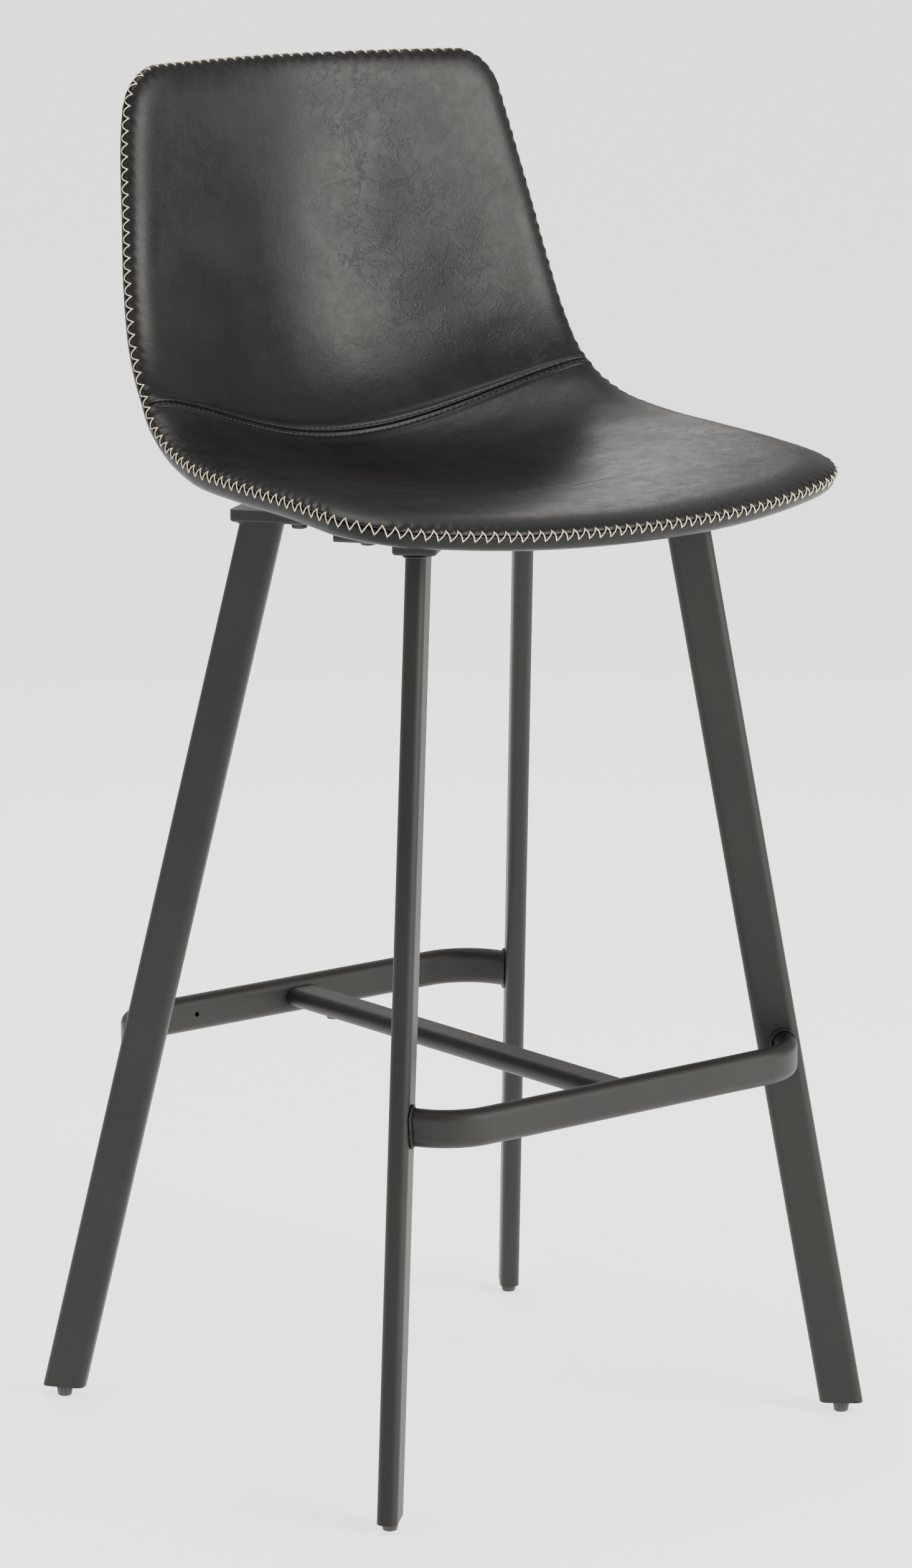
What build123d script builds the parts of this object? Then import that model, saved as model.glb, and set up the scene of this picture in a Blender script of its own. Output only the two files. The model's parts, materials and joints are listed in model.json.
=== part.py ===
"""Bar stool with an upholstered shell seat, splayed legs and an H-shaped footrest.

Millimetres, +Z up, the sitter faces -Y, symmetric about X = 0.
The origin is on the floor, at the middle of the stool's outline.
"""

import os
from itertools import product
from math import cos, hypot, pi, radians, sin

from build123d import *

# ---------------------------------------------------------------- heights
FOOT_HEIGHT = 7.5  # moulded foot under each leg
LEG_END_Z = 8.0  # cut end of the legs
FOOTREST_Z = 290.5  # centre line of the footrest bars
ARM_BOTTOM_Z = 700.0  # where the legs meet the under-seat arms
ARM_THICKNESS = 9.5
ARM_TOP_Z = ARM_BOTTOM_Z + ARM_THICKNESS

# ---------------------------------------------------------------- legs
LEG_WIDTH = 33.0
LEG_DEPTH = 15.6
LEG_CORNER = 6.2
TUBE_WALL = 1.5
FRONT_FOOT = (223.7, -201.5)  # leg axis at the floor, right-hand leg
FRONT_TOP = (128.6, -116.9)  # leg axis at the arms
REAR_FOOT = (225.8, 211.33)
REAR_TOP = (126.9, 73.7)
TRIM_REACH = 2000.0  # side of the boxes that trim ends
THROUGH = 60.0  # length of the cutters that pass right through a wall

# ---------------------------------------------------------------- under-seat frame
ARM_WIDTH = 33.0
ARM_OVERHANG = 5.0  # past the outer edge of the leg
ARM_CORNER = 4.0
ARM_EDGE = 2.5
REAR_ARM_REACH = 105.0  # from the leg axis towards the middle
FRONT_ARM_REACH = 130.0
ARM_GAP = 0.2  # where an arm would meet the other leg pair's arms
BRACKET_START = 60.0  # along the rear arm
BRACKET_END = 162.0
BRACKET_DROP = 12.0
BRACKET_SHEET = 2.5
BRACKET_CORNER = 3.0
BRIDGE_WIDTH = 24.0
FRONT_BRIDGE_Y = -47.0
REAR_BRIDGE_Y = 2.0

# ---------------------------------------------------------------- footrest
BAR_DEPTH = 15.2
BAR_HEIGHT = 28.6
BAR_BEND = 48.0  # centre-line radius of the bends
BAR_YS = {"front": -205.4, "rear": 204.0}
CROSS_WIDTH = 30.0
CROSS_HEIGHT = 15.2
SPIGOT_LENGTH = 60.0
SPIGOT_CLEARANCE = 0.3
CROSS_SCREW_BITE = 3.0  # past the cross bar's middle, into the spigot
CROSS_SCREW_INSET = 42.0  # from the bar's inner face
VENT_X = 103.0
VENT_RADIUS = 2.0

# ---------------------------------------------------------------- fasteners
SCREW_RADIUS = 3.0
THREAD_CLEARANCE = 0.05
HOLE_CLEARANCE = 0.3
HEAD_RADIUS = 6.0
HEAD_HEIGHT = 3.3
HEAD_EDGE = 1.5
SOCKET_RADIUS = 2.0
SOCKET_DEPTH = 1.8
WASHER_RADIUS = 8.0
WASHER_THICKNESS = 1.6
SEAT_SCREW_GAP = 2.1  # between the weld round the leg and the screw's washer
TEE_NUT_RADIUS = 4.2
TEE_NUT_HEIGHT = 5.0
BOLT_TIP_GAP = 1.0  # bracket bolts stop below the arm's top
WELD_THROAT = 2.4

# ---------------------------------------------------------------- levelling feet
STUD_RADIUS = 3.0
STUD_UP = 24.0  # above the leg end
STUD_DOWN = 5.0  # sunk into the moulded foot from its top face
FOOT_TOP_RADIUS = 6.6
FOOT_BASE_RADIUS = 5.4
FOOT_EDGE = 1.2
FOOT_GROOVE_COUNT = 12
FOOT_GROOVE_RADIUS = 0.9
INSERT_RADIUS = 4.6
INSERT_HEIGHT = 10.0
PLUG_HEIGHT = 34.0
PLUG_CLEARANCE = 0.15

# ---------------------------------------------------------------- upholstered shell
COVER = 1.2
FOAM = 8.5
SHELL = 5.0
LAYER_GAP = 0.3
RIM_WALL = 1.2
SHELL_INSET = 13.0  # the moulded shell's edge from the outline, where the foam's edge rolls over
FRONT_SWEEP = 130.0  # length of the rounded front, along the middle line
TOP_SWEEP = 60.0  # length of the rounded top
BOSS_RADIUS = 11.0
BOSS_HEIGHT = 22.0  # before it is trimmed inside the shell's thickness
BOSS_CLEARANCE = 0.4
SECTION_POINTS = 9
RISE_CURVE = 1.7  # how the sides rise, as RISE_CURVE u^2 - RISE_EASE u^4
RISE_EASE = 0.7
# From the front edge over the seat and up the back, along the middle of the
# sitting surface: y, height above the arms, lean of the surface, half width, rise
# of the sides.
STATIONS = [
    (-223.5, 18.8, -8.0, 61.0, 0.6),
    (-220.5, 19.2, -8.0, 96.0, 1.5),
    (-215.0, 19.9, -7.0, 134.0, 3.0),
    (-204.5, 21.0, -6.0, 181.0, 6.4),
    (-191.5, 22.0, -4.0, 211.5, 9.6),
    (-171.5, 22.6, -3.0, 228.0, 12.8),
    (-150.0, 22.7, -2.0, 236.0, 16.0),
    (-95.0, 21.5, -3.0, 236.5, 23.5),
    (-40.0, 19.0, -2.0, 236.0, 30.0),
    (20.0, 18.0, 2.0, 231.5, 36.5),
    (70.0, 20.7, 9.0, 222.0, 45.0),
    (105.0, 27.5, 21.0, 216.0, 54.0),
    (132.0, 40.5, 40.0, 213.0, 59.5),
    (152.0, 65.5, 59.0, 210.5, 58.5),
    (168.0, 100.5, 69.0, 207.5, 56.0),
    (180.5, 150.5, 78.0, 202.0, 52.0),
    (188.0, 210.5, 84.0, 193.5, 45.0),
    (192.5, 269.5, 87.0, 184.0, 35.0),
    (193.4, 298.0, 88.5, 178.5, 30.3),
    (193.8, 310.5, 89.5, 172.0, 28.0),
    (193.9, 320.5, 90.0, 161.5, 25.5),
    (194.0, 324.5, 90.0, 153.0, 24.0),
    (194.0, 326.5, 90.0, 142.5, 22.0),
]
SEAM_STATION = 12  # where the seat and back panels meet

ENDS = ("front", "rear")
SIDES = {"left": -1, "right": 1}
PARTS = {}


def add(name, *solids):
    """Keep the named piece, one solid or a group of separate ones."""
    PARTS[name] = Compound(label=name, children=list(solids)) if len(solids) > 1 else solids[0]


def between(solid, low, high):
    """The stretch of a solid between two heights."""
    slab = Pos(0, 0, (low + high) / 2) * Box(TRIM_REACH, TRIM_REACH, high - low)
    return solid & slab


def largest(shape):
    return max(shape.solids(), key=lambda s: s.volume)


# ================================================================ legs
def leg_ends(end, sign):
    """Axis of a leg at the floor and at the arms."""
    foot, top = (FRONT_FOOT, FRONT_TOP) if end == "front" else (REAR_FOOT, REAR_TOP)
    return (
        Vector(sign * foot[0], foot[1], 0),
        Vector(sign * top[0], top[1], ARM_BOTTOM_Z),
    )


def leg_point(end, sign, height):
    foot, top = leg_ends(end, sign)
    return foot + (top - foot) * (height / ARM_BOTTOM_Z)


def inward(end, sign):
    """Level direction from a leg's foot towards its top."""
    foot, top = leg_ends(end, sign)
    return Vector(top.X - foot.X, top.Y - foot.Y, 0).normalized()


def leg_bar(end, sign, grow, low, high):
    """A solid bar along the leg, grown all round, cut level at both ends."""
    foot, top = leg_ends(end, sign)
    axis = (top - foot).normalized()
    across = axis.cross(inward(end, sign)).normalized()
    plane = Plane(origin=foot - axis * LEG_WIDTH, x_dir=across.cross(axis), z_dir=axis)
    profile = RectangleRounded(
        LEG_WIDTH + 2 * grow, LEG_DEPTH + 2 * grow, LEG_CORNER + grow
    )
    length = (top - foot).length + 2 * LEG_WIDTH
    return between(extrude(plane * profile, amount=length), low, high)


def leg(end, sign):
    tube = leg_bar(end, sign, 0, LEG_END_Z, ARM_BOTTOM_Z)
    return largest(tube - leg_bar(end, sign, -TUBE_WALL, 0, ARM_BOTTOM_Z + LEG_DEPTH))


# ================================================================ levelling feet
def foot_axis(end, sign):
    """The studs stand upright under the middle of each leg's cut end."""
    point = leg_point(end, sign, LEG_END_Z)
    return Pos(point.X, point.Y, 0)


def stud():
    low = FOOT_HEIGHT - STUD_DOWN
    high = LEG_END_Z + STUD_UP
    return Pos(0, 0, (low + high) / 2) * Cylinder(STUD_RADIUS, high - low)


def moulded_foot():
    body = Pos(0, 0, FOOT_HEIGHT / 2) * Cone(FOOT_BASE_RADIUS, FOOT_TOP_RADIUS, FOOT_HEIGHT)
    body = fillet(body.edges().group_by(Axis.Z)[0], FOOT_EDGE)
    groove = Pos(FOOT_TOP_RADIUS, 0, FOOT_HEIGHT) * Cylinder(FOOT_GROOVE_RADIUS, FOOT_HEIGHT)
    for i in range(FOOT_GROOVE_COUNT):
        body -= Rot(0, 0, 360 / FOOT_GROOVE_COUNT * i) * groove
    socket = Pos(0, 0, FOOT_HEIGHT) * Cylinder(STUD_RADIUS + THREAD_CLEARANCE, 2 * STUD_DOWN)
    return largest(body - socket)


def plug_and_insert(end, sign):
    """Plastic plug in the leg's end, with the threaded insert that the stud turns in."""
    place = foot_axis(end, sign)
    thread = place * Cylinder(STUD_RADIUS + THREAD_CLEARANCE, 2 * (LEG_END_Z + PLUG_HEIGHT))
    plug = leg_bar(
        end, sign, -TUBE_WALL - PLUG_CLEARANCE, LEG_END_Z, LEG_END_Z + PLUG_HEIGHT
    )
    insert = place * Pos(0, 0, LEG_END_Z + INSERT_HEIGHT / 2) * Cylinder(INSERT_RADIUS, INSERT_HEIGHT)
    return largest(plug - insert - thread), largest(insert - thread)


# ================================================================ under-seat frame
def arm_plane(end, sign, height):
    """Level plane on the leg's axis, its x pointing to the middle of the stool."""
    top = leg_point(end, sign, ARM_BOTTOM_Z)
    return Plane(
        origin=(top.X, top.Y, height), x_dir=inward(end, sign), z_dir=(0, 0, 1)
    )


def arm_outer_end():
    return -(LEG_WIDTH / 2 + ARM_OVERHANG)


def arm_block(end, sign, grow):
    reach = FRONT_ARM_REACH if end == "front" else REAR_ARM_REACH
    start = arm_outer_end() - grow
    length = reach + grow - start
    outline = RectangleRounded(length, ARM_WIDTH + 2 * grow, ARM_CORNER + grow)
    plane = arm_plane(end, sign, ARM_BOTTOM_Z - grow)
    block = extrude(plane * Pos(start + length / 2, 0) * outline, amount=ARM_THICKNESS + 2 * grow)
    return block


def seat_screw_place(end, sign):
    reach = LEG_WIDTH / 2 + WELD_THROAT + SEAT_SCREW_GAP + WASHER_RADIUS
    return Location(arm_plane(end, sign, 0)) * Pos(reach, 0, 0)


def bracket_bolt_places(sign):
    """One bolt goes up into the rear arm and one into the front arm."""
    rear = Location(arm_plane("rear", sign, 0)) * Pos((BRACKET_START + REAR_ARM_REACH) / 2, 0, 0)
    front = Location(arm_plane("front", sign, 0)) * Pos(arm_crossing("front"), 0, 0)
    return [rear, front]


def arm_crossing(end):
    """Distance along an arm's centre line to where the other arm's line crosses it."""
    here, other = leg_point(end, 1, ARM_BOTTOM_Z), leg_point(other_end(end), 1, ARM_BOTTOM_Z)
    run, cut = inward(end, 1), inward(other_end(end), 1)
    gap = other - here
    return (gap.X * cut.Y - gap.Y * cut.X) / (run.X * cut.Y - run.Y * cut.X)


def other_end(end):
    return "rear" if end == "front" else "front"


def bolt_hole(place, clearance):
    return place * Pos(0, 0, ARM_BOTTOM_Z) * Cylinder(SCREW_RADIUS + clearance, THROUGH)


def arm(end, sign):
    body = arm_block(end, sign, 0)
    body = fillet(body.faces().sort_by(Axis.Z)[0].edges(), ARM_EDGE)
    body -= bolt_hole(seat_screw_place(end, sign), HOLE_CLEARANCE)
    if end == "front":
        body -= arm_block("rear", sign, ARM_GAP)
    bolt = bracket_bolt_places(sign)[0 if end == "rear" else 1]
    return largest(body - bolt_hole(bolt, THREAD_CLEARANCE))


def bracket(sign):
    """Folded channel under the rear arm, which the front arm's end rests on."""
    length = BRACKET_END - BRACKET_START
    low = ARM_BOTTOM_Z - BRACKET_DROP
    place = Location(arm_plane("rear", sign, low)) * Pos((BRACKET_START + BRACKET_END) / 2, 0, 0)
    outer = Pos(0, 0, BRACKET_DROP / 2) * Box(length, ARM_WIDTH, BRACKET_DROP)
    outer = fillet(outer.edges().filter_by(Axis.X).group_by(Axis.Z)[0], BRACKET_CORNER)
    inner = Pos(0, 0, BRACKET_DROP / 2 + BRACKET_SHEET) * Box(
        length - 2 * BRACKET_SHEET, ARM_WIDTH - 2 * BRACKET_SHEET, BRACKET_DROP
    )
    body = place * (outer - inner)
    for hole in bracket_bolt_places(sign):
        body -= bolt_hole(hole, HOLE_CLEARANCE)
    return largest(body)


def bridge(end, y):
    """Flat bar that ties the left and right arms of one leg pair."""
    bar = Pos(0, y, ARM_BOTTOM_Z + ARM_THICKNESS / 2) * Box(
        2 * FRONT_FOOT[0], BRIDGE_WIDTH, ARM_THICKNESS
    )
    for sign in SIDES.values():
        bar -= arm_block(end, sign, 0)
        bar -= arm_block(other_end(end), sign, ARM_GAP)
    return min(bar.solids(), key=lambda s: abs(s.center().X))


# ================================================================ footrest
def bar_path(y, toward):
    """Level U: bend, long straight, bend. The ends point along Y into the legs."""
    leg_x = abs(leg_point("front" if y < 0 else "rear", 1, FOOTREST_Z).X)
    straight = leg_x - BAR_BEND
    middle = BAR_BEND * (1 - cos(pi / 4))
    edges = [
        ThreePointArc(
            (-leg_x, y + toward * BAR_BEND, FOOTREST_Z),
            (-leg_x + middle, y + toward * middle, FOOTREST_Z),
            (-straight, y, FOOTREST_Z),
        ),
        Line((-straight, y, FOOTREST_Z), (straight, y, FOOTREST_Z)),
        ThreePointArc(
            (straight, y, FOOTREST_Z),
            (leg_x - middle, y + toward * middle, FOOTREST_Z),
            (leg_x, y + toward * BAR_BEND, FOOTREST_Z),
        ),
    ]
    return Wire(edges)


def bar_sweep(y, grow):
    toward = 1 if y < 0 else -1
    path = bar_path(y, toward)
    start = path @ 0
    plane = Plane(origin=start, x_dir=(1, 0, 0), z_dir=path % 0)
    across, tall = BAR_DEPTH + 2 * grow, BAR_HEIGHT + 2 * grow
    return sweep(plane * Rot(0, 0, 90) * SlotOverall(tall, across), path=path)


def bar_side(y):
    """Inner face of a bar, where the cross bar butts."""
    return y + BAR_DEPTH / 2 if y < 0 else y - BAR_DEPTH / 2


def footrest_bar(end, y):
    tube = bar_sweep(y, 0) - bar_sweep(y, -TUBE_WALL)
    for sign in SIDES.values():
        tube -= leg_bar(end, sign, 0, 0, ARM_BOTTOM_Z)
    vent = Rot(90, 0, 0) * Cylinder(VENT_RADIUS, 2 * TUBE_WALL)
    for x in (-VENT_X, VENT_X):
        tube -= Pos(x, bar_side(y), FOOTREST_Z) * vent
    return largest(tube)


def cross_bar():
    length = BAR_YS["rear"] - BAR_YS["front"]
    middle = Pos(0, (BAR_YS["rear"] + BAR_YS["front"]) / 2, FOOTREST_Z) * Rot(90, 0, 0)
    body = middle * extrude(SlotOverall(CROSS_WIDTH, CROSS_HEIGHT), length / 2, both=True)
    bore = SlotOverall(CROSS_WIDTH - 2 * TUBE_WALL, CROSS_HEIGHT - 2 * TUBE_WALL)
    body -= middle * extrude(bore, length, both=True)
    for y in BAR_YS.values():
        body -= bar_sweep(y, 0)
    for y in cross_screw_ys():
        hole = Cylinder(SCREW_RADIUS + HOLE_CLEARANCE, CROSS_HEIGHT)
        body -= Pos(0, y, FOOTREST_Z - CROSS_HEIGHT / 2) * hole
    return largest(body)


def cross_screw_ys():
    return (
        bar_side(BAR_YS["front"]) + CROSS_SCREW_INSET,
        bar_side(BAR_YS["rear"]) - CROSS_SCREW_INSET,
    )


def spigot(y):
    """Tongue on a bar's inner face that the cross bar slides over."""
    side = bar_side(y)
    toward = 1 if y < 0 else -1
    shrink = 2 * (TUBE_WALL + SPIGOT_CLEARANCE)
    profile = SlotOverall(CROSS_WIDTH - shrink, CROSS_HEIGHT - shrink)
    body = Pos(0, side + toward * SPIGOT_LENGTH / 2, FOOTREST_Z) * Rot(90, 0, 0) * extrude(
        profile, SPIGOT_LENGTH / 2, both=True
    )
    screw = Pos(0, side + toward * CROSS_SCREW_INSET, FOOTREST_Z)
    return largest(body - screw * Cylinder(SCREW_RADIUS + THREAD_CLEARANCE, BAR_HEIGHT))


# ================================================================ fasteners and welds
def screw(shank):
    """Button-head socket screw, its head's seat at z = 0 and its shank going up."""
    head = Pos(0, 0, -HEAD_HEIGHT / 2) * Cylinder(HEAD_RADIUS, HEAD_HEIGHT)
    head = fillet(head.edges().group_by(Axis.Z)[0], HEAD_EDGE)
    head -= Pos(0, 0, -HEAD_HEIGHT) * Cylinder(SOCKET_RADIUS, 2 * SOCKET_DEPTH)
    return head + Pos(0, 0, shank / 2) * Cylinder(SCREW_RADIUS, shank)


def washer():
    ring = Pos(0, 0, -WASHER_THICKNESS / 2) * Cylinder(WASHER_RADIUS, WASHER_THICKNESS)
    return ring - Cylinder(SCREW_RADIUS + HOLE_CLEARANCE, THROUGH)


def weld(grown_a, grown_b, a, b):
    """Bead in the corner where two pieces meet: where both reach once they are grown."""
    return largest((grown_a & grown_b) - a - b)


# ================================================================ upholstered shell
def side_rise(u):
    """Share of the side rise at u, the distance from the middle as a share of the width."""
    return RISE_CURVE * u**2 - RISE_EASE * u**4


def side_slope(u):
    return 2 * RISE_CURVE * u - 4 * RISE_EASE * u**3


def section_point(station, u, depth, margin):
    """A point of the section at a station, that far under the sitting surface."""
    y, z, lean, half, rise = station
    x = (half - margin) * u
    share = x / half
    slope = rise * side_slope(share) / half
    scale = hypot(1, slope)
    x_out = x + depth * slope / scale
    height = rise * side_rise(share) - depth / scale
    lean = radians(lean)
    return Vector(x_out, y - height * sin(lean), ARM_TOP_Z + z + height * cos(lean))


def section_wire(station, top, bottom, margin):
    us = [-1 + 2 * i / (SECTION_POINTS - 1) for i in range(SECTION_POINTS)]
    upper = [section_point(station, u, top, margin) for u in us]
    lower = [section_point(station, u, bottom, margin) for u in us]
    return Wire(
        [
            Spline(*upper),
            Line(upper[-1], lower[-1]),
            Spline(*reversed(lower)),
            Line(lower[0], upper[0]),
        ]
    )


def middle_line():
    """Distance of each station along the middle line, from the front edge."""
    runs = [0.0]
    for here, after in zip(STATIONS, STATIONS[1:]):
        runs.append(runs[-1] + hypot(after[0] - here[0], after[1] - here[1]))
    return runs


def station_at(distance, runs):
    """The station's values at a distance along the middle line."""
    index = max(i for i, run in enumerate(runs[:-1]) if run <= distance)
    share = (distance - runs[index]) / (runs[index + 1] - runs[index])
    pairs = zip(STATIONS[index], STATIONS[index + 1])
    return tuple(here + (after - here) * share for here, after in pairs)


def drawn_in(inset):
    """Stations and side margins of an outline drawn in by the inset, on the same surface."""
    runs = middle_line()
    sections = []
    for station, run in zip(STATIONS, runs):
        front = max(0, 1 - run / FRONT_SWEEP)
        top = max(0, 1 - (runs[-1] - run) / TOP_SWEEP)
        moved = station_at(run + inset * (front - top), runs)
        sections.append((moved, moved[3] - station[3] + inset))
    return sections


def layer(top, bottom, inset):
    """One layer of the shell, between two depths under the sitting surface."""
    wires = [section_wire(station, top, bottom, margin) for station, margin in drawn_in(inset)]
    return Solid.make_loft(wires, ruled=True)


def seam_block(behind):
    """Everything on one side of the seam's plane: behind it, or in front of it."""
    y, z, lean, _, _ = STATIONS[SEAM_STATION]
    plane = Plane(
        origin=(0, y, ARM_TOP_Z + z), x_dir=(1, 0, 0), z_dir=(0, cos(radians(lean)), sin(radians(lean)))
    )
    offset = (TRIM_REACH + LAYER_GAP) / 2 if behind else -(TRIM_REACH + LAYER_GAP) / 2
    return Location(plane) * Pos(0, 0, offset) * Box(TRIM_REACH, TRIM_REACH, TRIM_REACH)


def shell_depths():
    foam_top = COVER + LAYER_GAP
    shell_top = foam_top + FOAM + LAYER_GAP
    under_top = shell_top + SHELL + LAYER_GAP
    return foam_top, shell_top, under_top


def on_arm_top(place, height, radius):
    """A cylinder that stands on an arm's top at a screw's place."""
    post = Cylinder(radius, height, align=(Align.CENTER, Align.CENTER, Align.MIN))
    return place * Pos(0, 0, ARM_TOP_Z) * post


def build_shell():
    foam_top, shell_top, under_top = shell_depths()
    places = [seat_screw_place(end, sign) for end, sign in product(ENDS, SIDES.values())]

    cover = layer(0, COVER, 0)
    add("seat_cover", largest(cover & seam_block(False)))
    add("back_cover", largest(cover & seam_block(True)))

    foam = layer(foam_top, foam_top + FOAM, RIM_WALL + LAYER_GAP)
    add("seat_foam", largest(foam & seam_block(False)))
    add("back_foam", largest(foam & seam_block(True)))

    core = layer(shell_top, shell_top + SHELL, SHELL_INSET)
    above = layer(0, shell_top + SHELL / 2, 0)
    tray = layer(COVER + LAYER_GAP, under_top + COVER, 0) - layer(0, under_top, RIM_WALL)
    for place in places:
        core += on_arm_top(place, BOSS_HEIGHT, BOSS_RADIUS) - above
        core -= on_arm_top(place, BOSS_HEIGHT, TEE_NUT_RADIUS + THREAD_CLEARANCE)
        tray -= on_arm_top(place, BOSS_HEIGHT, BOSS_RADIUS + BOSS_CLEARANCE)
    add("seat_shell", largest(core))
    add("under_cover", largest(tray))


def build_tee_nuts():
    nuts = []
    for end, sign in product(ENDS, SIDES.values()):
        place = seat_screw_place(end, sign)
        bore = place * Pos(0, 0, ARM_TOP_Z) * Cylinder(SCREW_RADIUS + THREAD_CLEARANCE, THROUGH)
        nuts.append(on_arm_top(place, TEE_NUT_HEIGHT, TEE_NUT_RADIUS) - bore)
    add("tee_nuts", *nuts)


# ================================================================ assembly
def build_legs():
    plugs, inserts = [], []
    for end, side in product(ENDS, SIDES):
        sign = SIDES[side]
        add(f"leg_{end}_{side}", leg(end, sign))
        add(f"arm_{end}_{side}", arm(end, sign))
        plug, insert = plug_and_insert(end, sign)
        plugs.append(plug)
        inserts.append(insert)
        add(f"foot_stud_{end}_{side}", foot_axis(end, sign) * stud())
        add(f"foot_{end}_{side}", foot_axis(end, sign) * moulded_foot())
    add("leg_plugs", *plugs)
    add("glide_inserts", *inserts)


def build_welds():
    arm_welds, bar_welds = [], []
    for end, sign in product(ENDS, SIDES.values()):
        leg_solid = leg_bar(end, sign, 0, 0, ARM_BOTTOM_Z)
        leg_grown = leg_bar(end, sign, WELD_THROAT, 0, ARM_BOTTOM_Z)
        arms = arm_block(end, sign, WELD_THROAT), arm_block(end, sign, 0)
        bars = bar_sweep(BAR_YS[end], WELD_THROAT), bar_sweep(BAR_YS[end], 0)
        arm_welds.append(weld(leg_grown, arms[0], leg_solid, arms[1]))
        bar_welds.append(weld(leg_grown, bars[0], leg_solid, bars[1]))
    add("arm_welds", *arm_welds)
    add("footrest_welds", *bar_welds)


def build_seat_screws():
    screws, washers = [], []
    for end, sign in product(ENDS, SIDES.values()):
        seat = seat_screw_place(end, sign) * Pos(0, 0, ARM_BOTTOM_Z)
        washers.append(seat * washer())
        shank = WASHER_THICKNESS + ARM_THICKNESS + TEE_NUT_HEIGHT
        screws.append(seat * Pos(0, 0, -WASHER_THICKNESS) * screw(shank))
    add("seat_screws", *screws)
    add("seat_washers", *washers)


def build_brackets():
    bolts = []
    shank = BRACKET_DROP + ARM_THICKNESS - BOLT_TIP_GAP
    for side, sign in SIDES.items():
        add(f"bracket_{side}", bracket(sign))
        for place in bracket_bolt_places(sign):
            bolts.append(place * Pos(0, 0, ARM_BOTTOM_Z - BRACKET_DROP) * screw(shank))
    add("bracket_bolts", *bolts)
    add("front_bridge", bridge("front", FRONT_BRIDGE_Y))
    add("rear_bridge", bridge("rear", REAR_BRIDGE_Y))


def build_footrest():
    for end, y in BAR_YS.items():
        add(f"{end}_footrest_bar", footrest_bar(end, y))
    add("cross_bar", cross_bar())
    add("cross_bar_spigots", *[spigot(y) for y in BAR_YS.values()])
    low = FOOTREST_Z - CROSS_HEIGHT / 2
    shank = CROSS_HEIGHT / 2 + CROSS_SCREW_BITE
    add("cross_bar_screws", *[Pos(0, y, low) * screw(shank) for y in cross_screw_ys()])


build_legs()
build_welds()
build_seat_screws()
build_brackets()
build_footrest()
build_shell()
build_tee_nuts()

os.makedirs("parts", exist_ok=True)
for name, piece in PARTS.items():
    export_step(piece, f"parts/{name}.step")
whole = Compound(children=list(PARTS.values())).bounding_box()
print("pieces", len(PARTS), "box", whole.min, whole.max)
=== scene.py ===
# %% [markdown]
# # A bar stool in black leather-look and powder-coated tube
#
# The construction already exists: it is loaded as a fixed frame, and nothing in it is
# moved or resized here. This script gives each surface its finish and models what a
# construction model leaves plain: the padded seat and back, the cream zigzag thread
# round the edge, the double-stitched seam and the weld beads.

# %% Load the frame
import json
import math

import bmesh
import bpy
import numpy as np
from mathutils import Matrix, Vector, noise


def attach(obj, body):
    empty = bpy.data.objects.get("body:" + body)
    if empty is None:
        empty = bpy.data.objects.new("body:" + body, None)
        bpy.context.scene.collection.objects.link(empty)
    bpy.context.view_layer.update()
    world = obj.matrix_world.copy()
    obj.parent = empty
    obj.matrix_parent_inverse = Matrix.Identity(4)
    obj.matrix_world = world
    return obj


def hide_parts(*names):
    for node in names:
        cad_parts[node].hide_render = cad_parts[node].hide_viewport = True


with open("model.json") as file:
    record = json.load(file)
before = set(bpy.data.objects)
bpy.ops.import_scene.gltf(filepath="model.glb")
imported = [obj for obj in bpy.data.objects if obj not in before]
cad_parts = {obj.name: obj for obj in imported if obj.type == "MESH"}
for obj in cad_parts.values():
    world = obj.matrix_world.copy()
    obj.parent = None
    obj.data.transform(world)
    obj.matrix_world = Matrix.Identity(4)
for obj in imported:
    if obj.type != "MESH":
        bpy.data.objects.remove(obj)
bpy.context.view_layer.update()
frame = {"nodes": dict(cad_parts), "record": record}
nodes = frame["nodes"]
MM = 0.001

# %% [markdown]
# ## Small helpers
#
# Blender's operators act on whatever is selected, so every new piece starts from an
# empty selection. Placing a mesh from a list of points is kept in one function, and so
# is turning a finished piece smooth, because every soft piece needs both. Soft shapes
# are worked out in millimetres, and MM turns them into the scene's metres.


# %% Helpers
def nothing_selected():
    bpy.ops.object.select_all(action="DESELECT")


def only(piece):
    nothing_selected()
    piece.select_set(True)
    bpy.context.view_layer.objects.active = piece
    return piece


def mesh_piece(name, points, faces):
    """A new piece from points and faces, with its doubles merged and its faces outward."""
    mesh = bpy.data.meshes.new(name)
    mesh.from_pydata([tuple(p) for p in points], [], faces)
    piece = bpy.data.objects.new(name, mesh)
    bpy.context.scene.collection.objects.link(piece)
    tidy = bmesh.new()
    tidy.from_mesh(mesh)
    bmesh.ops.remove_doubles(tidy, verts=tidy.verts, dist=1e-6)
    bmesh.ops.recalc_face_normals(tidy, faces=tidy.faces)
    tidy.to_mesh(mesh)
    tidy.free()
    only(piece)
    bpy.ops.object.shade_smooth()
    return piece


def apply_modifier(piece, kind, **settings):
    only(piece)
    modifier = piece.modifiers.new(kind.title(), kind)
    for key, value in settings.items():
        setattr(modifier, key, value)
    bpy.ops.object.modifier_apply(modifier=modifier.name)
    return piece


def unit(v):
    return v / np.maximum(np.linalg.norm(v, axis=-1, keepdims=True), 1e-12)


# %% [markdown]
# ## Camera
#
# The camera stands on the left of the sitter's front, a little above seat height, and
# far away, so the legs keep nearly their true proportions. Its distance and lens are
# those of a normal studio picture taken with a short telephoto.

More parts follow.
